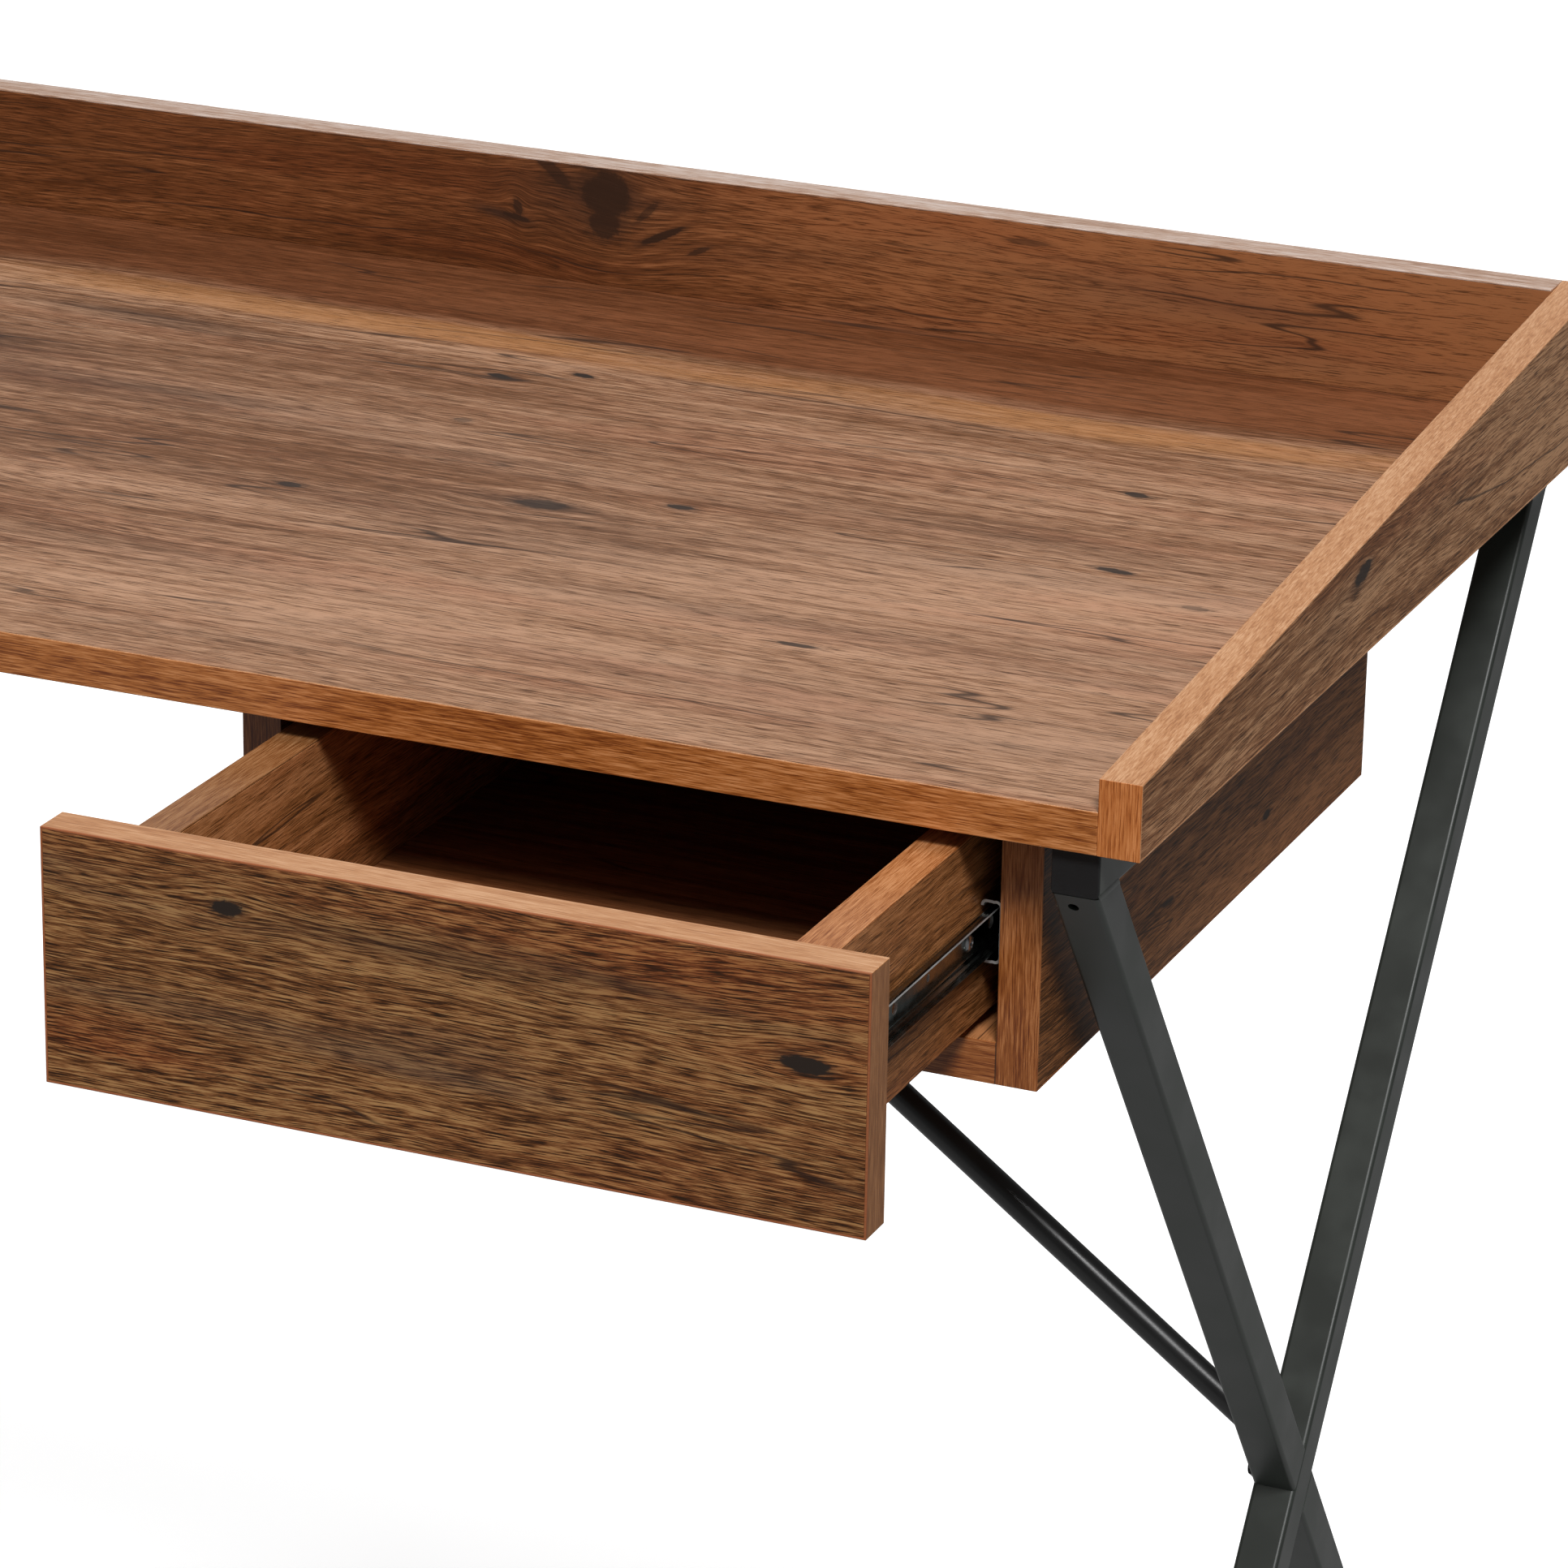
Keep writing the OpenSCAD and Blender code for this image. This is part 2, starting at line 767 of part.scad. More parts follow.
drawer_front();
drawer_front_band();
drawer_side(-1);  // drawer_left_side
drawer_side(1);  // drawer_right_side
drawer_back();
drawer_bottom();
drawer_bands();
drawer_cams_node();  // drawer_cams
drawer_cam_bolts();
drawer_dowels();
drawer_screws();
drawer_bumpers();
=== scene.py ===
import json
import math
import bmesh
import bpy
from mathutils import Matrix, Vector

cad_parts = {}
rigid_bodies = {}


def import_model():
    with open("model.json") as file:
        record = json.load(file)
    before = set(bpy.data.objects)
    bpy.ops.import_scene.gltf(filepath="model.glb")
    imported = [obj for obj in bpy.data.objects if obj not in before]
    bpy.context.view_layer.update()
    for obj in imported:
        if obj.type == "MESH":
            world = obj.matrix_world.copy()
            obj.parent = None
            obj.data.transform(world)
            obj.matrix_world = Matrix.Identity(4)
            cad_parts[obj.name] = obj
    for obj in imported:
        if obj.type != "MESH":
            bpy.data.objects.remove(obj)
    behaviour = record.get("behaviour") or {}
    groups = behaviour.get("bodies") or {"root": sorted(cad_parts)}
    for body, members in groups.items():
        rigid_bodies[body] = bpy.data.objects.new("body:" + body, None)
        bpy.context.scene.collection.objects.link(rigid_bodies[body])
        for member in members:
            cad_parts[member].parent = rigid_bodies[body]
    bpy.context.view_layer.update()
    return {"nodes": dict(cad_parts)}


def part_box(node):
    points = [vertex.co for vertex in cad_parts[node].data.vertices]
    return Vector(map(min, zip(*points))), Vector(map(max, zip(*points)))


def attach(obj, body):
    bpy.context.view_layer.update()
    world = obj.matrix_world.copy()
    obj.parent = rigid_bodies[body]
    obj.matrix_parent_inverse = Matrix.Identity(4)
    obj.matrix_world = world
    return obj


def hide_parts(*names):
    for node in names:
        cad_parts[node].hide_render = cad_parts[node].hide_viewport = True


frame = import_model()
nodes = frame["nodes"]
scene = bpy.context.scene
MM = 0.001
SIDES = ("left", "right")


# ---- Places, all from the CAD model's boxes ----

top_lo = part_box("desktop")[0]
front_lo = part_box("drawer_front")[0]
back_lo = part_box("back_panel")[0]
case_lo, case_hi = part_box("case_right_side")


# ---- Shader building ----

def linear(r, g, b):
    """An 8-bit sRGB colour as the linear colour that Blender wants."""
    def channel(c):
        c /= 255
        return c / 12.92 if c <= 0.04045 else ((c + 0.055) / 1.055) ** 2.4
    return (channel(r), channel(g), channel(b), 1)


class Net:
    """A material's node tree, built one node per call. Lengths are in millimetres."""

    def __init__(self, name):
        self.material = bpy.data.materials.new(name)
        self.material.use_nodes = True
        self.tree = self.material.node_tree
        self.shader = self.tree.nodes["Principled BSDF"]
        coordinates = self.tree.nodes.new("ShaderNodeTexCoord").outputs
        self.place = self.vec("SCALE", coordinates["Object"], scale=1000)
        self.normal = coordinates["Normal"]

    def link(self, socket, value):
        if isinstance(value, bpy.types.NodeSocket):
            self.tree.links.new(value, socket)
        else:
            socket.default_value = value

    def node(self, kind, inputs, **settings):
        made = self.tree.nodes.new(kind)
        for key, value in settings.items():
            setattr(made, key, value)
        for key, value in inputs.items():
            self.link(made.inputs[key], value)
        return made

    def math(self, operation, a, b=0.0, c=0.0, clamp=False):
        inputs = {0: a, 1: b, 2: c}
        return self.node("ShaderNodeMath", inputs, operation=operation, use_clamp=clamp).outputs[0]

    def vec(self, operation, a, b=(0, 0, 0), c=(0, 0, 0), scale=1.0):
        made = self.node("ShaderNodeVectorMath", {0: a, 1: b, 2: c, 3: scale}, operation=operation)
        return made.outputs["Value" if operation in ("LENGTH", "DOT_PRODUCT") else "Vector"]

    def noise(self, where, size, detail=2.0, rough=0.5, warp=0.0):
        """Noise whose features are about size long along each axis."""
        step = tuple(1 / s for s in size) if isinstance(size, tuple) else (1 / size,) * 3
        inputs = {"Vector": self.vec("MULTIPLY", where, step), "Scale": 1.0, "Detail": detail,
                  "Roughness": rough, "Distortion": warp}
        return self.node("ShaderNodeTexNoise", inputs).outputs[0]

    def step(self, value, low, high, at_low=0.0, at_high=1.0):
        """Rises smoothly from at_low to at_high as value goes from low to high."""
        inputs = {"Value": value, "From Min": low, "From Max": high, "To Min": at_low, "To Max": at_high}
        return self.node("ShaderNodeMapRange", inputs, interpolation_type="SMOOTHSTEP").outputs[0]

    def ramp(self, value, *stops):
        made = self.node("ShaderNodeValToRGB", {"Fac": value})
        band = made.color_ramp.elements
        while len(band) < len(stops):
            band.new(0.5)
        for element, (position, colour) in zip(band, stops):
            element.position = position
            element.color = linear(*colour)
        return made.outputs[0]

    def mix(self, amount, a, b, how="MIX"):
        made = self.node("ShaderNodeMix", {}, data_type="RGBA", blend_type=how)
        for socket, value in zip((made.inputs[0], made.inputs[6], made.inputs[7]), (amount, a, b)):
            self.link(socket, value)
        return made.outputs[2]

    def bump(self, height, strength, depth):
        """A bump map; depth is what a height of 1 stands for, in millimetres."""
        inputs = {"Height": height, "Strength": strength, "Distance": depth * MM}
        return self.node("ShaderNodeBump", inputs).outputs[0]

    def finish(self, **inputs):
        for key, value in inputs.items():
            self.link(self.shader.inputs[key.replace("_", " ").title().replace("Ior", "IOR")], value)
        return self.material


# ---- Wood tones, each from its darkest grain lines to its palest ----

# All the boards are one laminate: these palettes are partly painted light, lit and shaded copies, each set
# to how bright its board's face shows under these lamps.
TOP = ((108, 68, 38), (142, 99, 70), (166, 124, 93), (190, 147, 117))
BACK = ((90, 48, 20), (112, 64, 32), (132, 78, 43), (160, 102, 62))
SIDE = ((104, 62, 26), (139, 91, 54), (160, 112, 74), (206, 156, 114))
CASE = ((88, 52, 20), (136, 84, 44), (164, 106, 60), (194, 130, 82))
DRAWER = ((98, 58, 24), (148, 93, 50), (176, 115, 68), (202, 140, 92))
FRONT = ((70, 37, 14), (118, 73, 37), (147, 97, 57), (182, 136, 86))
# The edge bands are one material too; their palettes are partly painted light, lit and shaded copies set
# face by face. The next one is paled and greyed as painted sheen for band faces that look up.
SHEEN_PALE_BAND = ((166, 110, 66), (190, 132, 86), (198, 144, 100), (214, 164, 122))
WARM_BAND = ((134, 72, 26), (170, 106, 58), (186, 122, 74), (204, 142, 94))
# Darker for the case's front bands: partly their own tone, partly painted shade under the worktop's
# overhang.
DEEP_BAND = ((110, 50, 12), (146, 80, 30), (166, 98, 46), (194, 126, 74))
FRONT_BAND = ((118, 56, 16), (170, 98, 41), (192, 118, 60), (218, 146, 90))
SIDE_BAND = ((128, 74, 26), (154, 96, 46), (170, 112, 62), (190, 130, 80))
END_BAND = ((152, 78, 22), (193, 110, 50), (209, 128, 66), (226, 145, 85))
# Near white: painted glare along the top of the back panel's band.
GLARE_BAND = ((150, 108, 82), (184, 148, 124), (204, 178, 162), (216, 198, 188))
BEECH = ((172, 130, 84), (196, 154, 106), (214, 174, 124), (226, 190, 142))


# ---- Material recipes ----

def grain_frame(net, grain, across, corner):
    """Coordinates in millimetres with x along the grain, from the board's corner."""
    from_corner = net.vec("SUBTRACT", net.place, tuple(c / MM for c in corner))
    axes = net.node("ShaderNodeSeparateXYZ", {0: from_corner})
    third = "XYZ".replace(grain, "").replace(across, "")
    order = {i: axes.outputs["XYZ".index(a)] for i, a in enumerate((grain, across, third))}
    return net.node("ShaderNodeCombineXYZ", order).outputs[0]


def spot(net, flat, along, side, length, width, tilt):
    """An oval on the board: its own coordinates, and its strength from 1 in the middle down to 0."""
    inputs = {"Vector": flat, "Location": (along, side, 0), "Rotation": (0, 0, math.radians(tilt)),
              "Scale": (length, width, 90)}
    offset = net.node("ShaderNodeMapping", inputs, vector_type="TEXTURE").outputs[0]
    return offset, net.math("POWER", math.exp(-1), net.vec("DOT_PRODUCT", offset, offset))


def add_tone(net, tone, pattern, weight):
    """Adds a pattern between 0 and 1 to the tone, evenly up and down."""
    return net.math("MULTIPLY_ADD", net.math("SUBTRACT", pattern, 0.5), weight, tone)


def wood(name, grain, across, corner, shift, palette=CASE, knots=(), marks=(), stains=(), amber=None,
         drift=(), ink=(46, 36, 30), figure=1.0, fleck=0.3, pore=1.0, patch=0.18):
    """Embossed wood laminate.

    grain and across are the board's long and short axes, corner is its low corner, and shift moves
    the pattern so that no two boards are alike. ink is the colour of knots and marks.
    Knots, marks and stains are (along, across, half length, half width, tilt, darkness).
    The grain parts around a knot and runs straight through a mark.
    amber is a golden band's (middle across the board, half width, how far it wanders); the strip behind the
    band is darkened and browned as painted shade and a painted reflection of the back panel.
    Each drift is (axis, low, high, tone at low, tone at high): a slow change of tone along (0) or
    across (1) the board.
    figure, fleck, pore and patch are how strong the streaks, the flecks, the pores and the red and
    grey patches are.
    """
    net = Net(name)
    flat = grain_frame(net, grain, across, corner)
    where = flat
    dark = None
    for along, side, length, width, tilt, depth in knots + marks:
        near = spot(net, flat, along, side, length, width, tilt)[1]
        wobble = net.noise(flat, (length * 0.4, width * 0.45, 8), 4, 0.7)
        ragged = net.math("MULTIPLY_ADD", wobble, 0.64, near)
        core_and_glint = net.math("MULTIPLY", net.step(ragged, 0.70, 0.98), depth)
        halo = net.math("MULTIPLY", net.step(ragged, 0.43, 0.90), 0.45 * depth)
        mark = net.math("MAXIMUM", core_and_glint, halo)
        dark = mark if dark is None else net.math("MAXIMUM", dark, mark)
    for along, side, length, width, tilt, depth in knots:
        offset, near = spot(net, flat, along, side, length * 2.4, width * 2.4, tilt)
        push = net.vec("SCALE", offset, scale=near)
        where = net.vec("MULTIPLY_ADD", push, (0, -width * 1.35, 0), where)
    where = net.vec("ADD", where, shift)

    # Wandering of the grain, then its scales from broad figure down to pores
    sway = net.math("MULTIPLY_ADD", net.noise(where, (330, 70, 70), 1), 16, -8)
    curl = net.math("MULTIPLY_ADD", net.noise(where, (56, 15, 20), 2), 3.4, -1.7)
    sway = net.math("ADD", sway, curl)
    where = net.vec("ADD", where, net.node("ShaderNodeCombineXYZ", {"Y": sway}).outputs[0])
    broad = net.noise(where, (380, 60, 60), 3, 0.5)
    streak = net.noise(where, (210, 7, 30), 4, 0.6, 0.3)
    flecks = net.noise(where, (110, 3.4, 12), 5, 0.7, 0.3)
    fibre = net.noise(where, (26, 1.0, 6), 4, 0.7)
    dash = net.step(net.noise(where, (13, 0.48, 4), 3, 0.6), 0.30, 0.70)
    tone = add_tone(net, 0.52, broad, 1.5 * figure)
    for axis, low, high, at_low, at_high in drift:
        place = net.node("ShaderNodeSeparateXYZ", {0: flat}).outputs[axis]
        tone = net.math("ADD", tone, net.step(place, low, high, at_low, at_high))
    tone = add_tone(net, tone, streak, 1.2 * figure)
    tone = add_tone(net, tone, flecks, 2.4 * fleck)
    tone = add_tone(net, tone, fibre, 0.8 * pore)
    tone = net.math("ADD", add_tone(net, tone, dash, 0.36 * pore), 0.0, clamp=True)
    colour = net.ramp(tone, *zip((0.10, 0.40, 0.65, 0.93), palette))

    # Slow drifts towards red and towards grey
    warm = net.noise(where, (240, 26, 40), 2)
    colour = net.mix(net.step(warm, 0.45, 0.72, 0, patch), colour, linear(158, 84, 48), "SOFT_LIGHT")
    grey = net.noise(where, (300, 36, 60), 2)
    colour = net.mix(net.step(grey, 0.50, 0.75, 0, patch), colour, linear(88, 74, 64))

    if amber:
        # A pale golden band along the grain, with a thin dark line at each edge; behind it, towards the
        # back panel, painted shade and a painted reflection of the back panel make the wood darker and
        # browner
        middle, half, bend = amber
        away = net.node("ShaderNodeSeparateXYZ", {0: flat}).outputs[1]
        slow = net.math("MULTIPLY_ADD", net.noise(flat, (420, 900, 900), 1), bend, -bend / 2)
        away = net.math("SUBTRACT", away, net.math("ADD", slow, middle))
        ragged = net.math("MULTIPLY_ADD", streak, 22, -11)
        inside = net.step(net.math("ABSOLUTE", net.math("ADD", away, ragged)), half * 0.4, half * 1.3, 1, 0)
        patchy = net.step(net.noise(flat, (200, 60, 60), 2), 0.35, 0.65, 0.15, 0.55)
        colour = net.mix(net.math("MULTIPLY", inside, patchy), colour, linear(184, 124, 70))
        edge = net.math("ABSOLUTE", net.math("SUBTRACT", net.math("ABSOLUTE", away), half * 1.2))
        broken = net.step(net.noise(flat, (150, 40, 40), 2), 0.45, 0.60)
        line = net.math("MULTIPLY", net.step(edge, 0.4, 1.8, 0.7, 0), broken)
        colour = net.mix(line, colour, linear(62, 38, 24))
        # Painted shade and painted reflection of the back panel, growing towards the back edge
        back_panel_shade = net.step(net.math("ADD", away, ragged), half * 0.6, half * 2.0, 0, 0.93)
        colour = net.mix(back_panel_shade, colour, net.ramp(tone, (0.1, (82, 42, 17)), (0.9, (124, 71, 39))))

    for along, side, length, width, tilt, depth in stains:
        near = spot(net, flat, along, side, length, width, tilt)[1]
        torn = net.math("MULTIPLY", near, net.step(streak, 0.36, 0.64, 1.0, 0.4))
        colour = net.mix(net.math("MULTIPLY", torn, depth), colour, linear(52, 38, 32))

    # Open pores: short dark dashes, and a few long dark lines where the figure turns over
    open_pore = net.step(dash, 0.05, 0.30, 0.36 * pore, 0)
    colour = net.mix(open_pore, colour, linear(48, 29, 14))
    long_pore = net.step(flecks, 0.34, 0.42, 0.9 * fleck, 0)
    colour = net.mix(long_pore, colour, linear(62, 38, 22))
    turn = net.math("ABSOLUTE", net.math("SUBTRACT", net.noise(where, (520, 30, 60), 2, 0.5), 0.47))
    crack = net.math("MULTIPLY", net.step(turn, 0.001, 0.008, 0.8, 0),
                     net.step(net.noise(where, (120, 60, 60), 1), 0.46, 0.60))
    colour = net.mix(crack, colour, linear(46, 30, 22))
    if dark is not None:
        colour = net.mix(dark, colour, linear(*ink))

    height = net.math("MULTIPLY_ADD", dash, 0.6, net.math("MULTIPLY", fibre, 0.4))
    height = net.math("SUBTRACT", height, net.math("MULTIPLY", crack, 0.6))
    rough = net.math("MULTIPLY_ADD", fibre, 0.10, 0.43)
    return net.finish(base_color=colour, roughness=rough, normal=net.bump(height, 0.45, 0.05),
                      specular_ior_level=0.3)


def edge_band(name, grain, shift, palette=WARM_BAND, upright=None, level=None, shade_span=None, rim=None):
    """Plain wood-grained edge band.

    upright is (axis, palette): faces that look along that axis have upright grain in that palette; as the
    band palettes are lit and shaded copies, this also paints light by face direction.
    level is the (low, high) X between which the band's own upright grain lies flat instead.
    shade_span is the (low, high) X over which painted shade on the left drawer side's band, darker and
    cooler, fades out to the usual colour.
    rim is the Y of the front face whose arris gets a reddish painted highlight.
    """
    net = Net(name)

    def pattern(along, colours):
        where = net.vec("ADD", grain_frame(net, along, "Z" if along != "Z" else "X", (0, 0, 0)), shift)
        broad = net.noise(where, (160, 10, 10), 3)
        streak = net.noise(where, (60, 2.4, 2.4), 5, 0.7, 0.4)
        fibre = net.noise(where, (26, 0.9, 0.9), 4, 0.7)
        dash = net.step(net.noise(where, (12, 0.5, 0.5), 3, 0.6), 0.28, 0.72)
        tone = add_tone(net, 0.53, broad, 0.9)
        tone = add_tone(net, tone, streak, 1.0)
        tone = add_tone(net, tone, fibre, 1.5)
        tone = net.math("ADD", add_tone(net, tone, dash, 0.75), 0.0, clamp=True)
        colour = net.ramp(tone, *zip((0.10, 0.40, 0.65, 0.93), colours))
        return net.mix(net.step(dash, 0.05, 0.30, 0.45, 0), colour, linear(*colours[0])), dash

    colour, dash = pattern(grain, palette)
    if upright:
        axis, colours = upright
        facing = net.node("ShaderNodeSeparateXYZ", {0: net.normal}).outputs["XYZ".index(axis)]
        end_face = net.step(net.math("ABSOLUTE", facing), 0.5, 0.8)
        colour = net.mix(end_face, colour, pattern("Z", colours)[0])
    if level:
        low, high = level
        x = net.node("ShaderNodeSeparateXYZ", {0: net.place}).outputs[0]
        from_middle = net.math("ABSOLUTE", net.math("SUBTRACT", x, (low + high) / 2))
        out = net.math("SUBTRACT", from_middle, (high - low) / 2)
        colour = net.mix(net.step(out, -0.1, 0.1, 1, 0), colour, pattern("X", palette)[0])
        joint = net.step(net.math("ABSOLUTE", out), 0.15, 0.45, 0.8, 0)
        colour = net.mix(joint, colour, linear(40, 22, 12))
    # Painted shade: the left drawer side's band is darkened and cooled, fading out towards the right.
    if shade_span:
        x = net.node("ShaderNodeSeparateXYZ", {0: net.place}).outputs[0]
        colour = net.mix(net.step(x, *shade_span, 1, 0), colour, linear(208, 216, 217), "MULTIPLY")
    # Painted highlight: a reddish line along the band's front arris.
    if rim is not None:
        y = net.node("ShaderNodeSeparateXYZ", {0: net.place}).outputs[1]
        core_and_glint = net.step(net.math("SUBTRACT", y, rim), 0.5, 1.0, 0.85, 0)
        colour = net.mix(core_and_glint, colour, linear(158, 84, 42))
    return net.finish(base_color=colour, roughness=net.math("MULTIPLY_ADD", dash, 0.08, 0.34),
                      normal=net.bump(dash, 0.35, 0.05), specular_ior_level=0.8)


def powder_coat(name, colour, rough, grit):
    """Painted steel with a fine orange-peel skin and a dusting of lighter wear."""
    net = Net(name)
    peel = net.noise(net.place, grit, 2)
    dust = net.noise(net.place, 34, 3)
    paler = tuple(min(255, c * 1.18 + 3) for c in colour)
    shade = net.mix(net.step(dust, 0.35, 0.7), linear(*colour), linear(*paler))
    return net.finish(base_color=shade, roughness=net.step(dust, 0.3, 0.7, rough - 0.05, rough + 0.05),
                      normal=net.bump(peel, 0.25, 0.05))


def plated(name, colour, rough):
    """Zinc or steel: metal with rolling marks and slightly uneven brightness."""
    net = Net(name)
    drawn = net.noise(net.place, (1.2, 30, 1.2), 2)
    cloud = net.noise(net.place, 6, 2)
    duller = tuple(c * 0.78 for c in colour)
    shade = net.mix(cloud, linear(*colour), linear(*duller))
    dulled = net.step(cloud, 0.3, 0.7, rough, rough + 0.12)
    return net.finish(base_color=shade, metallic=1.0, roughness=dulled, normal=net.bump(drawn, 0.15, 0.02))


def moulded(name, colour, rough, size):
    """Plastic or rubber with a fine spark-eroded texture."""
    net = Net(name)
    speckle = net.noise(net.place, size, 2)
    cloud = net.noise(net.place, 12, 2)
    paler = tuple(min(255, c * 1.25 + 4) for c in colour)
    shade = net.mix(cloud, linear(*colour), linear(*paler))
    return net.finish(base_color=shade, roughness=net.step(speckle, 0.3, 0.7, rough - 0.06, rough + 0.06),
                      normal=net.bump(speckle, 0.3, 0.04))


# ---- Finishes ----

# Each is (along, across, half length, half width, tilt, darkness) on its board, in millimetres and degrees
DESKTOP_KNOTS = (
    (704, 420, 9, 3.8, -14, 1.0), (739, 438, 8, 3.4, -14, 1.0), (719, 350, 6, 4.0, 0, 0.55),
    (693, 229, 8, 4.2, 0, 0.9), (806, 253, 17, 8.0, 0, 0.85), (862, 276, 9, 4.0, 0, 0.95),
    (1037, 382, 8, 4.0, -10, 0.95), (1065, 278, 12, 3.6, -8, 0.95), (1114, 246, 8, 3.4, 0, 0.6),
    (981, 129, 12, 2.6, 0, 0.9), (320, 300, 14, 5.0, 0, 0.9), (150, 180, 10, 4.0, 0, 0.8),
    (410, 96, 16, 4.4, 0, 0.8),
)
DESKTOP_STAINS = (
    (516, 430, 66, 10, -3, 1.0), (440, 362, 70, 24, 0, 0.6), (806, 252, 52, 12, 0, 0.45),
    (820, 205, 110, 26, 0, 0.40), (950, 150, 150, 15, 0, 0.35), (1080, 60, 130, 42, 0, 0.22),
    (560, 330, 170, 16, 0, 0.40), (1020, 300, 110, 16, 0, 0.35), (680, 120, 120, 18, 0, 0.30),
    (200, 380, 160, 24, 0, 0.5), (300, 150, 140, 30, 0, 0.35),
)
BACK_KNOTS = ((684, 46, 17, 16, 7, 0.95), (636, 34, 3.0, 5.5, 16, 0.85), (230, 26, 12, 5, 0, 0.9))
BACK_MARKS = (
    (683, 31, 11, 9, 0, 0.9), (672, 62, 24, 5, -6, 0.85), (654, 56, 18, 4.2, -40, 0.8),
    (635, 29, 10, 1.7, -9, 0.95), (706, 40, 10, 2.4, 44, 0.7), (714, 29, 17, 2.4, 25, 0.95),
    (734, 24, 8, 1.7, 23, 0.8), (905, 50, 14, 2.0, 0, 0.6),
)
BACK_STAINS = (
    (680, 46, 48, 22, 0, 0.6), (625, 30, 16, 3, -12, 0.7), (770, 26, 60, 8, 8, 0.3),
    (120, 40, 120, 10, 0, 0.5), (1020, 28, 60, 14, 0, 0.35),
)
finishes = {
    # The desktop's drifts are painted light: a brighter pool towards the right end and the front edge.
    "desktop": wood("desktop_wood", "X", "Y", top_lo, (37, 211, 5), TOP,
                    knots=DESKTOP_KNOTS, stains=DESKTOP_STAINS,
                    amber=(474, 16, 70), fleck=0.4, pore=2.0,
                    drift=((0, 640, 1120, -0.08, 0.13), (1, 40, 300, 0.15, -0.03))),
    "back_panel": wood("back_wood", "X", "Z", back_lo, (911, 77, 31), BACK,
                       knots=BACK_KNOTS, marks=BACK_MARKS, stains=BACK_STAINS,
                       ink=(54, 34, 23), figure=0.6, pore=1.6, drift=((0, 600, 900, -0.12, 0.52),)),
    "drawer_front": wood("front_wood", "X", "Z", front_lo, (523, 17, 3), FRONT,
                         knots=((81, 87, 9, 4.0, 0, 1.0), (325, 66, 13, 4.6, -4, 1.0)),
                         stains=((170, 84, 90, 7, 0, 0.45), (262, 84, 70, 3, -6, 0.6)),
                         figure=0.36, fleck=0.2, pore=2.8, patch=0.5),
}
for i, side in enumerate(SIDES):
    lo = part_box(side + "_side_panel")[0]
    finishes[side + "_side_panel"] = wood(
        side + "_panel_wood", "Y", "Z", lo, (260 + 400 * i, 83, 9), SIDE,
        knots=((263, 38, 14, 5, 12, 0.95),), stains=((245, 30, 44, 9, 10, 0.4),),
        drift=((0, 120, 480, 0.05, 0.34),), pore=1.8)
    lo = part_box("case_" + side + "_side")[0]
    finishes["case_" + side + "_side"] = wood(
        side + "_case_wood", "Y", "Z", lo, (140 + 350 * i, 12, 47), CASE,
        knots=((271, 25, 6, 3, 0, 0.9), (148, 28, 8, 2.2, 0, 0.7)), pore=1.9)
    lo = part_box("drawer_" + side + "_side")[0]
    finishes["drawer_" + side + "_side"] = wood(
        side + "_drawer_wood", "Y", "Z", lo, (90 + 270 * i, 140, 66), DRAWER, pore=1.6)
finishes["case_bottom"] = wood("case_floor_wood", "Y", "X", case_lo, (45, 99, 21))
finishes["case_back"] = wood("case_back_wood", "X", "Z", case_lo, (370, 58, 13))
finishes["drawer_back"] = wood("drawer_back_wood", "X", "Z", front_lo, (730, 20, 77))
# The drawer's floor takes the darker back-panel palette: painted shade for the dark inside of the drawer.
finishes["drawer_bottom"] = wood("drawer_floor_wood", "X", "Y", front_lo, (180, 320, 55), BACK)

finishes["drawer_front_band"] = edge_band("drawer_edge", "X", (51, 9, 2), SHEEN_PALE_BAND,
                                          ("X", SIDE_BAND), rim=front_lo[1] / MM)
# The back panel's top band gets the near-white palette: painted glare.
finishes["back_panel_band"] = edge_band("back_top_band", "X", (90, 4, 7), GLARE_BAND)
for name in ("left_side_band", "right_side_band"):
    finishes[name] = edge_band(name + "_wood", "Y", (23, 7, 40), SHEEN_PALE_BAND, ("Y", END_BAND))
box_x = [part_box("drawer_left_side")[1][0] / MM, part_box("drawer_right_side")[0][0] / MM]
finishes["drawer_bands"] = edge_band("drawer_top_bands", "Y", (71, 13, 30), shade_span=box_x)
# The desktop band's top face takes the paled palette: painted sheen on the face that looks up.
finishes["desktop_bands"] = edge_band("desktop_front_band", "X", (33, 5, 61), FRONT_BAND,
                                      ("Z", SHEEN_PALE_BAND))
board = (case_hi[0] - case_lo[0]) / MM
between_sides = (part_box("case_left_side")[0][0] / MM + board, case_lo[0] / MM)
finishes["case_bands"] = edge_band("case_front_band", "Z", (8, 55, 2), DEEP_BAND, level=between_sides)

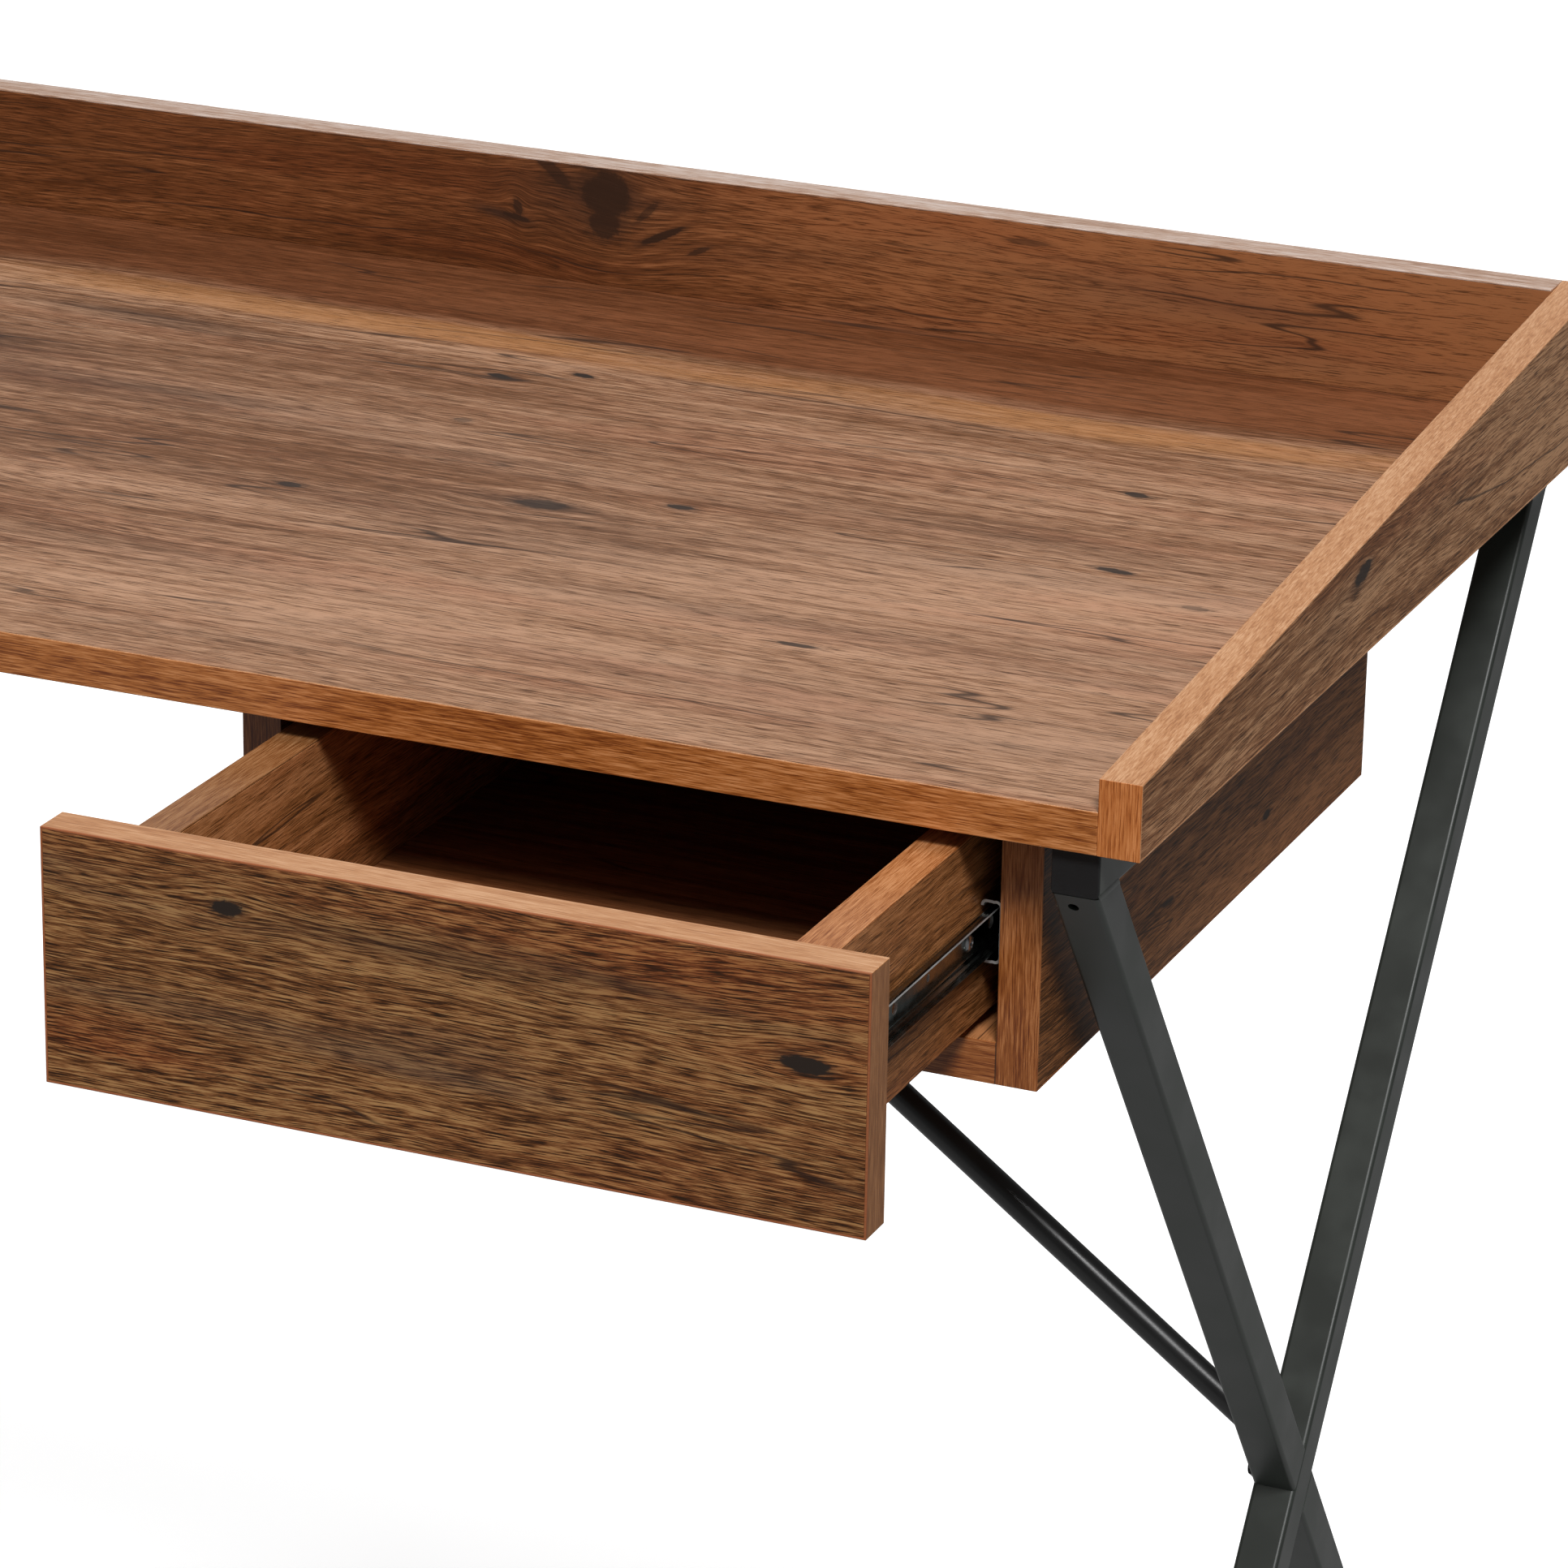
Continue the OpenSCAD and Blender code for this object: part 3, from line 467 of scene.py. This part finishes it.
charcoal = powder_coat("charcoal_powder_coat", (37, 41, 37), 0.45, 0.8)
gloss = powder_coat("gloss_black_paint", (17, 17, 17), 0.30, 1.6)
steel = plated("slide_steel", (158, 164, 160), 0.13)
cut_steel = plated("cut_steel_edge", (240, 242, 242), 0.55)
zinc = plated("bright_zinc", (196, 198, 200), 0.26)
ball_steel = plated("polished_ball_steel", (222, 224, 226), 0.10)
black_zinc = plated("black_zinc", (46, 46, 48), 0.34)
plastic = moulded("black_nylon", (22, 22, 23), 0.46, 0.7)
rubber = moulded("clear_bumper_rubber", (150, 150, 146), 0.5, 1.2)
beech = edge_band("beech_dowel", "X", (3, 3, 3), BEECH)
for side in SIDES:
    for part in ("top_bar", "long_leg", "upper_leg", "lower_leg"):
        finishes[side + "_" + part] = charcoal
    finishes[side + "_brace"] = gloss
    finishes[side + "_case_slide"] = finishes[side + "_drawer_slide"] = steel
    finishes[side + "_ball_cage"] = zinc
    finishes[side + "_slide_balls"] = ball_steel
for name in ("frame_bolts", "brace_bolts"):
    finishes[name] = black_zinc
for name in ("bar_end_plugs", "leg_end_plugs", "levelling_feet"):
    finishes[name] = plastic
for name in ("side_dowels", "drawer_dowels"):
    finishes[name] = beech
finishes["drawer_bumpers"] = rubber


# ---- CAD pieces: clean faces, rounded arrises and their finish ----

def soften(piece, width):
    """Rounds a CAD piece's arrises; width 0 is for tubes, whose corners are round already."""
    weld = piece.modifiers.new("weld", "WELD")
    weld.merge_threshold = 0.00001
    flatten = piece.modifiers.new("flatten", "DECIMATE")
    flatten.decimate_type = "DISSOLVE"
    flatten.angle_limit = math.radians(0.5)
    if not width:
        split = piece.modifiers.new("split", "EDGE_SPLIT")
        split.split_angle = math.radians(28)
        normals = piece.modifiers.new("normals", "WEIGHTED_NORMAL")
        normals.weight = 100
        return
    bevel = piece.modifiers.new("arris", "BEVEL")
    bevel.width = width * MM
    bevel.segments = 2
    bevel.limit_method = "ANGLE"
    bevel.angle_limit = math.radians(32)
    bevel.use_clamp_overlap = False
    normals = piece.modifiers.new("normals", "WEIGHTED_NORMAL")
    normals.keep_sharp = False


USUAL_ARRIS = 0.3
ARRIS = {charcoal: 0, finishes["desktop_bands"]: 0.45, gloss: 0.3, steel: 0.12, zinc: 0.15,
         black_zinc: 0.3, plastic: 0.5, rubber: 0.4, beech: 0.4}
for name, piece in nodes.items():
    finish = finishes.get(name, zinc)
    piece.data.materials.clear()
    piece.data.materials.append(finish)
    if not name.endswith("_balls"):
        soften(piece, ARRIS.get(finish, USUAL_ARRIS))


# ---- Detailed pieces ----

ROUND = 24      # points around a hole or a screw head
BEAD_ROUND = 12
SHEET = 1.2     # thickness of the slide members


def add_piece(name, shape, body, materials):
    """A new visible piece from a bmesh in metres, riding on a body."""
    mesh = bpy.data.meshes.new(name)
    bmesh.ops.recalc_face_normals(shape, faces=shape.faces)
    shape.to_mesh(mesh)
    shape.free()
    for material in materials:
        mesh.materials.append(material)
    mesh.shade_smooth()
    mesh.set_sharp_from_angle(angle=math.radians(35))
    piece = bpy.data.objects.new(name, mesh)
    scene.collection.objects.link(piece)
    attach(piece, body)
    return piece


def arc(centre, radius, start, end, steps=6):
    """Points on an arc; angles in degrees."""
    turns = [math.radians(start + (end - start) * i / steps) for i in range(steps + 1)]
    return [(centre[0] + radius * math.cos(t), centre[1] + radius * math.sin(t)) for t in turns]


def sheet_outline(half_path, thickness):
    """Closed outline of a bent sheet from the upper half of its middle line, mirrored below."""
    path = [(u, -v) for u, v in reversed(half_path)] + list(half_path)
    near, far = [], []
    for i, point in enumerate(path):
        before, after = Vector(path[max(i - 1, 0)]), Vector(path[min(i + 1, len(path) - 1)])
        across = (after - before).orthogonal().normalized() * thickness / 2
        near.append(Vector(point) + across)
        far.append(Vector(point) - across)
    return near + far[::-1], len(half_path) - 1


def pan_head(shape, centre, flip):
    """A domed screw head with a cross recess, on a face that looks along X."""
    radius, height = 3.7, 1.8

    def circle(reach):
        turns = [math.tau * k / ROUND for k in range(ROUND)]
        return [(reach * math.cos(t), reach * math.sin(t)) for t in turns]

    def cross(arm, half):
        mid = (arm + half) / 2
        quarter = [(arm, 0), (arm, half), (mid, half), (half, half), (half, mid), (half, arm)]
        turns = [Matrix.Rotation(math.radians(90 * q), 2) for q in range(4)]
        return [turn @ Vector(point) for turn in turns for point in quarter]

    rings = []
    for points, lift in ((circle(radius), 0), (circle(radius), height * 0.35),
                         (circle(radius * 0.93), height * 0.62), (circle(radius * 0.75), height * 0.88),
                         (circle(radius * 0.58), height), (cross(radius * 0.5, radius * 0.13), height),
                         (cross(radius * 0.4, radius * 0.09), height * 0.4)):
        x = centre.x + flip * lift
        rings.append([shape.verts.new(Vector((x, centre.y + y, centre.z + z)) * MM) for y, z in points])
    for a, b in zip(rings, rings[1:]):
        for k in range(ROUND):
            shape.faces.new((a[k - 1], a[k], b[k], b[k - 1]))
    shape.faces.new(rings[0])
    shape.faces.new(rings[-1])


def slide_member(name, path, holes, screws, body):
    """A rolled slide member in place of its CAD node: raceways, cut holes and bright cut edges.

    path is the upper half of the sheet's middle line, from the web outwards, as (distance from the
    board, height). holes are (distance from the front end, radius), and screws are such distances.
    """
    lo, hi = (Vector(v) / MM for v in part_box(name))
    on_right = lo.x > (case_lo[0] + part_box("case_left_side")[1][0]) / 2 / MM
    from_case = "case" in name
    flip = -1 if on_right == from_case else 1
    board_x = hi.x if flip < 0 else lo.x
    middle = (lo.z + hi.z) / 2
    outline, last = sheet_outline(path, SHEET)
    web_top = path[0][1]
    stations = {0.0, round(hi.y - lo.y, 4)}
    for y, _ in holes:
        for k in range(ROUND // 8, ROUND * 3 // 8 + 1):
            stations.add(round(y + web_top / math.tan(math.tau * k / ROUND), 4))
    stations = sorted(stations)
    shape = bmesh.new()

    def vert(u, y, v):
        return shape.verts.new(((board_x + flip * u) * MM, (lo.y + y) * MM, (middle + v) * MM))

    loops = [[vert(p[0], y, p[1]) for p in outline] for y in stations]
    count = len(outline)
    webs = (last, count - last - 2)
    for a, b in zip(loops, loops[1:]):
        for i in range(count):
            if i not in webs:
                strip = shape.faces.new((a[i], a[(i + 1) % count], b[(i + 1) % count], b[i]))
                strip.material_index = int(abs(i - count // 2 + 1) < 2)
    for loop in (loops[0], loops[-1]):
        shape.faces.new(loop).material_index = 1

    # The flat web between the bends, once for each of its faces, with the holes' walls between them
    turns = [math.tau * k / ROUND for k in range(ROUND)]
    rims = []
    for web in webs:
        u = outline[web].x
        at = {y: (loop[web], loop[web + 1]) for y, loop in zip(stations, loops)}
        column = sorted(at[0.0], key=lambda v: v.co.z)
        for y, radius in sorted(holes):
            edge = []
            for turn in turns:
                c, t = math.cos(turn), math.sin(turn)
                reach = web_top / max(abs(c), abs(t))
                if abs(t) * reach > web_top - 0.001:
                    pair = sorted(at[round(y + web_top * c / abs(t), 4)], key=lambda v: v.co.z)
                    edge.append(pair[1] if t > 0 else pair[0])
                else:
                    edge.append(vert(u, y + c * reach, t * reach))
            rim = [vert(u, y + radius * math.cos(turn), radius * math.sin(turn)) for turn in turns]
            for k in range(ROUND):
                shape.faces.new((edge[k - 1], edge[k], rim[k], rim[k - 1]))
            rims.append(rim)
            shape.faces.new(column + [edge[k] for k in range(ROUND * 3 // 8, ROUND * 5 // 8 + 1)])
            column = [edge[k % ROUND] for k in range(ROUND * 7 // 8, ROUND * 9 // 8 + 1)]
        shape.faces.new(column + sorted(at[stations[-1]], key=lambda v: -v.co.z))
    half = len(rims) // 2
    for a, b in zip(rims[:half], rims[half:]):
        for k in range(ROUND):
            shape.faces.new((a[k - 1], a[k], b[k], b[k - 1])).material_index = 1
    piece = add_piece(name + "_rolled", shape, body, (steel, cut_steel))
    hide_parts(name)
    heads = bmesh.new()
    for y in screws:
        pan_head(heads, Vector((board_x + flip * SHEET, lo.y + y, middle)), flip)
    add_piece(name + "_screw_heads", heads, body, (zinc,))


def add_bead(shape, centre, x0, x1, radius):
    """A rippled weld bead along X, round a middle at (y, z)."""
    rings = []
    steps = 48
    for i in range(steps + 1):
        t = i / steps
        ripple = 1 + 0.10 * abs(math.sin(math.pi * (x1 - x0) * t / 1.5))
        swell = radius * ripple * (0.35 if i in (0, steps) else 1)
        rings.append([shape.verts.new(Vector((
            x0 + (x1 - x0) * t, centre[0] + swell * math.cos(math.tau * k / BEAD_ROUND),
            centre[1] + swell * math.sin(math.tau * k / BEAD_ROUND))) * MM) for k in range(BEAD_ROUND)])
    for a, b in zip(rings, rings[1:]):
        for k in range(BEAD_ROUND):
            shape.faces.new((a[k - 1], a[k], b[k], b[k - 1]))
    shape.faces.new(rings[0])
    shape.faces.new(rings[-1])


LEG_LEAN = math.radians(36.4)   # from upright, the same as the CAD model's


def build_welds():
    """Welds of the leg frames: ground flush on the outside, rippled beads in the corners."""
    for side in SIDES:
        bar_lo, bar_hi = (Vector(v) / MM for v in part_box(side + "_top_bar"))
        front_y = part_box(side + "_upper_leg")[0][1] / MM
        rear_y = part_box(side + "_long_leg")[1][1] / MM
        run = (bar_hi.x - bar_lo.x) / math.cos(LEG_LEAN) - 1.2
        shape = bmesh.new()
        for start, end, lean in ((bar_lo.y, front_y + run, 1), (rear_y - run, bar_hi.y, -1)):
            slant = lean * math.tan(LEG_LEAN)
            for face, out in ((bar_lo.x, -1), (bar_hi.x, 1)):
                # Fills the notch between the bar's rounded edge and the leg's flat top
                section = [(-0.1, 2.1), (0.05, 1.8), (0.05, -0.9), (-0.1, -1.2), (-1.8, -0.6), (-1.9, 0.1)]
                section += arc((-2, 2), 1.9, -86, -4, 5)
                rings = []
                for y in (start, end):
                    places = [(face + out * x, y - z * slant, bar_lo.z + z) for x, z in section]
                    rings.append([shape.verts.new(Vector(place) * MM) for place in places])
                for k in range(len(section)):
                    shape.faces.new((rings[0][k - 1], rings[0][k], rings[1][k], rings[1][k - 1]))
                for ring in rings:
                    shape.faces.new(ring)
            corner = end if lean > 0 else start
            add_bead(shape, (corner + 0.9 * lean, bar_lo.z - 0.3), bar_lo.x + 1.5, bar_hi.x - 1.5, 1.5)
        add_piece(side + "_frame_welds", shape, "desk", (charcoal,))


build_welds()

# The slide member on the drawer and the one on the case: section, (place, radius) of holes, screws
RUNNER_PATH = [(0.6, 6.2)] + arc((2.0, 6.4), 1.4, 180, 100) + [
    (2.6, 8.3), (3.1, 8.8), (3.6, 9.0), (4.1, 8.82), (4.6, 8.8), (5.1, 8.95), (5.6, 9.0), (6.0, 8.75),
    (6.2, 8.3)]
CHANNEL_PATH = [(0.6, 10.6)] + arc((2.8, 10.7), 2.2, 180, 90) + [
    (3.8, 12.7), (4.6, 12.9), (6.6, 12.9)] + arc((6.9, 11.1), 1.8, 90, 0) + [(8.7, 10.7)]
RUNNER_HOLES = ((12, 2.2), (62, 2.8), (96, 1.6), (162, 2.8), (182, 1.6), (232, 2.8), (330, 2.2))
CHANNEL_HOLES = ((24, 2.8), (52, 4.4), (96, 2.8), (180, 4.4), (230, 2.8), (334, 2.8))
RUNNER_SCREWS = (35, 137, 300)
CHANNEL_SCREWS = (9, 137, 300)
for side in SIDES:
    slide_member(side + "_drawer_slide", RUNNER_PATH, RUNNER_HOLES, RUNNER_SCREWS, "drawer")
    slide_member(side + "_case_slide", CHANNEL_PATH, CHANNEL_HOLES, CHANNEL_SCREWS, "desk")


# ---- Stage ----

# The camera that took the photo, fitted to its edges: heading, tilt down and roll in degrees
CAMERA_PLACE = (1.3816, -2.4121, 1.6244)
HEADING, TILT, ROLL = 23.10, 20.42, 0.989
FOCAL_LENGTH = 147.544


def build_floor():
    """A white floor that only the camera sees, so that it lights nothing from below."""
    mesh = bpy.data.meshes.new("studio_floor")
    shape = bmesh.new()
    bmesh.ops.create_grid(shape, x_segments=1, y_segments=1, size=14)
    shape.to_mesh(mesh)
    shape.free()
    floor = bpy.data.objects.new("studio_floor", mesh)
    floor.visible_diffuse = floor.visible_glossy = False
    scene.collection.objects.link(floor)
    net = Net("studio_floor")
    cloud = net.noise(net.place, 900, 2)
    tone = net.mix(cloud, linear(240, 240, 241), linear(244, 244, 244))
    mesh.materials.append(net.finish(base_color=tone, roughness=0.9, specular_ior_level=0.1,
                                     emission_color=(1, 1, 1, 1), emission_strength=0.72))


def softbox(name, where, aim, size, power):
    """A rectangular light; places and sizes in metres, power in watts."""
    lamp = bpy.data.lights.new(name, "AREA")
    lamp.shape = "RECTANGLE"
    lamp.size, lamp.size_y = size
    lamp.energy = power
    piece = bpy.data.objects.new(name, lamp)
    piece.location = where
    piece.rotation_euler = (Vector(aim) - Vector(where)).to_track_quat("-Z", "Y").to_euler()
    scene.collection.objects.link(piece)
    return piece


def bounce_card():
    """The white floor's light, on the metal frames only: the boards' colours hold their share of it."""
    card = softbox("floor_bounce", (0, 0, 0.004), (0, 0, 1), (5.0, 5.0), 19)
    card.visible_camera = False
    frames = bpy.data.collections.new("metal_frames")
    for piece in bpy.data.objects:
        if piece.type == "MESH" and piece.data.materials and piece.data.materials[0] in (charcoal, gloss):
            frames.objects.link(piece)
    card.light_linking.receiver_collection = frames


def build_stage():
    build_floor()
    world = bpy.data.worlds.new("studio")
    world.use_nodes = True
    world.node_tree.nodes["Background"].inputs["Color"].default_value = (1, 1, 1, 1)
    world.node_tree.nodes["Background"].inputs["Strength"].default_value = 0.18
    scene.world = world
    softbox("key_softbox", (3.7, -5.5, 8.5), (0, 0, 0.7), (3.0, 2.2), 900)
    softbox("overhead_softbox", (0.6, 0.4, 6.6), (0, 0.1, 0.7), (2.4, 2.4), 90)
    softbox("rear_softbox", (-2.6, 5.8, 2.9), (0, 0, 0.75), (6.0, 2.6), 12)
    bounce_card()
    scene.view_settings.view_transform = "Standard"

    lens = bpy.data.cameras.new("camera")
    lens.sensor_width = 36
    lens.lens = FOCAL_LENGTH
    lens.clip_end = 60
    camera = bpy.data.objects.new("camera", lens)
    turn = Matrix.Rotation(math.radians(HEADING), 4, "Z") @ Matrix.Rotation(math.radians(90 - TILT), 4, "X")
    turn = turn @ Matrix.Rotation(math.radians(ROLL), 4, "Z")
    camera.matrix_world = Matrix.Translation(CAMERA_PLACE) @ turn
    scene.collection.objects.link(camera)
    scene.camera = camera


build_stage()
